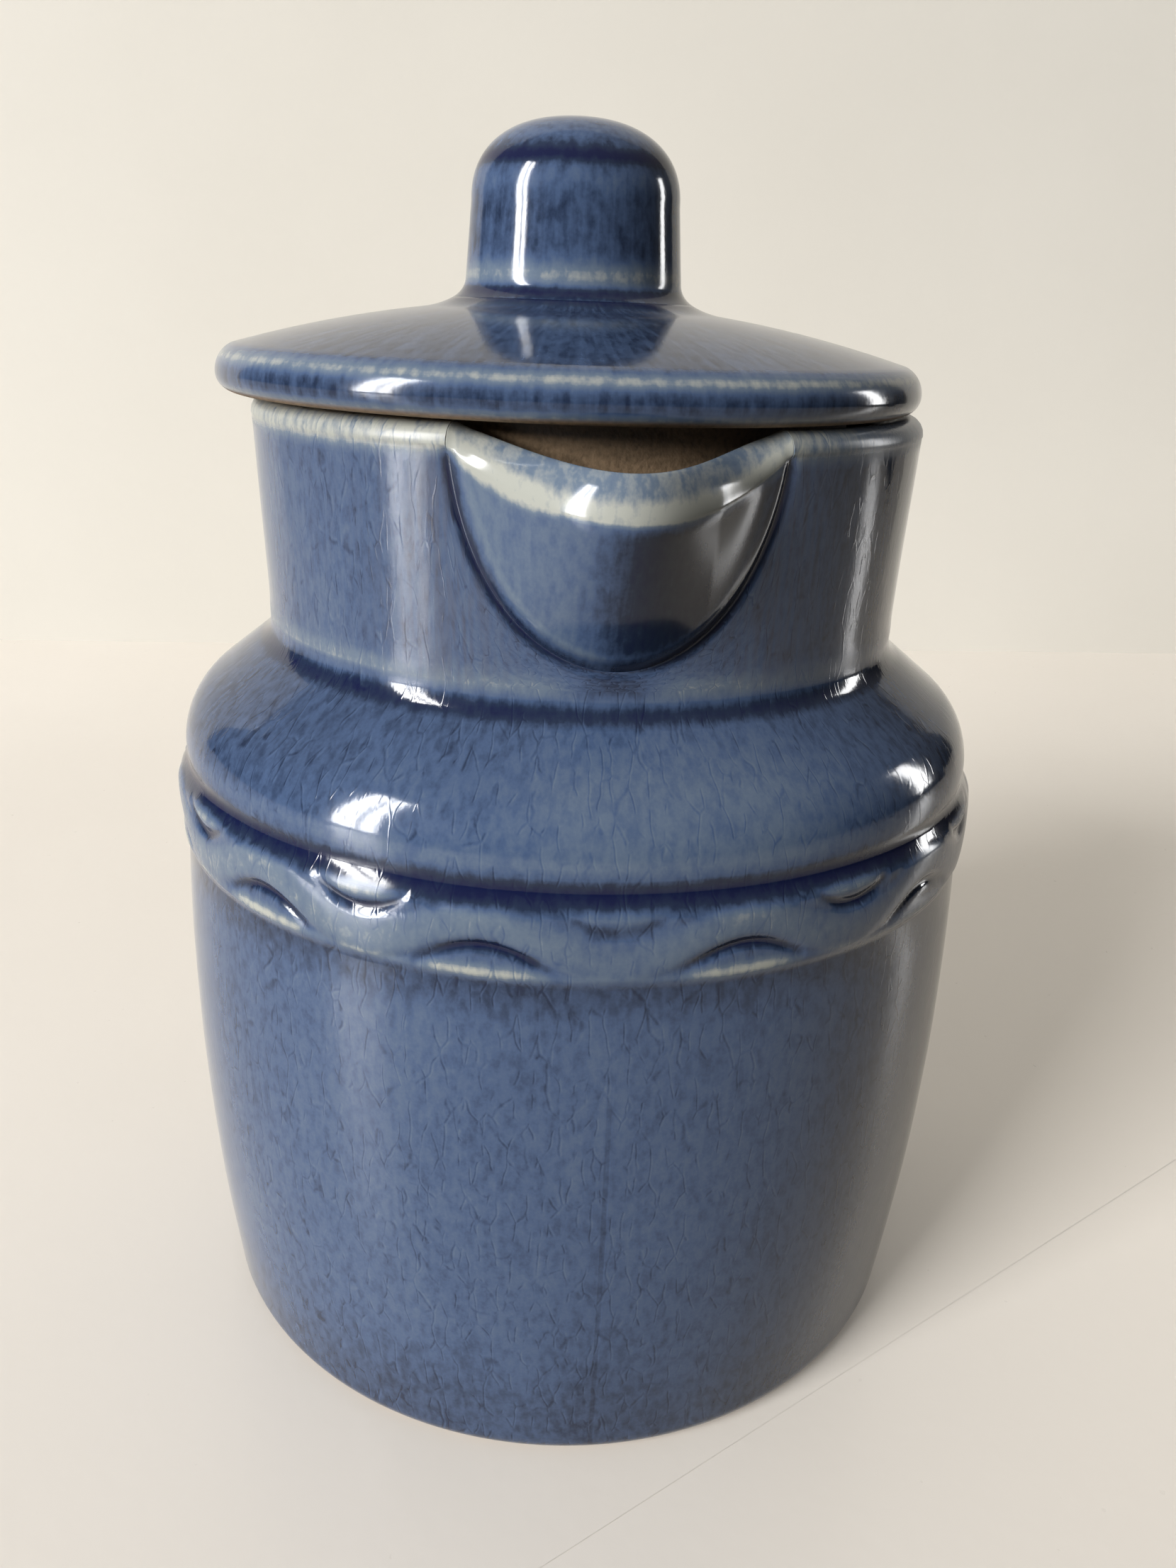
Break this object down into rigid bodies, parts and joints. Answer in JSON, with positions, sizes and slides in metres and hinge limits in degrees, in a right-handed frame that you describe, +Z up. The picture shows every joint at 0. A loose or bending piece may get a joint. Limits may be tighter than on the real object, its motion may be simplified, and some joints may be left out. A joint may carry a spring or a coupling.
{
  "type": "lidded pouring crock",
  "caption": "Barrel-shaped glazed stoneware crock with a braided band, straight neck and pouring lip, closed by a loose domed lid that has a locating flange and a stem knob.",
  "frame": {"origin": "centre of the foot, on the surface the crock stands on", "axes": "+Z up along the pot's axis, -Y towards the pouring lip, +X to the right as the lip is faced"},
  "size_m": [0.109, 0.109, 0.1584],
  "materials": {
    "body_glaze": "glossy slate-blue glaze, crazed, thin and pale on edges, dark where it pools; brown inside",
    "lip_glaze": "glossy slate-blue glaze with a pale rolled edge",
    "lid_glaze": "glossy slate-blue glaze, bare brown clay on the seat",
    "bare_clay": "matt unglazed brown stoneware",
    "knob_glaze": "glossy slate-blue glaze, dark in the crease at its foot"
  },
  "bodies": {
    "crock": {"crock_body": "body_glaze", "pouring_lip": "lip_glaze"},
    "lid": {"lid_plate": "lid_glaze", "lid_flange": "bare_clay", "lid_knob": "knob_glaze"}
  },
  "joints": [
    {"name": "lid_lift", "type": "slide", "parent": "crock", "child": "lid", "axis": [0, 0, 1], "range_m": [0, 0.06]}
  ]
}
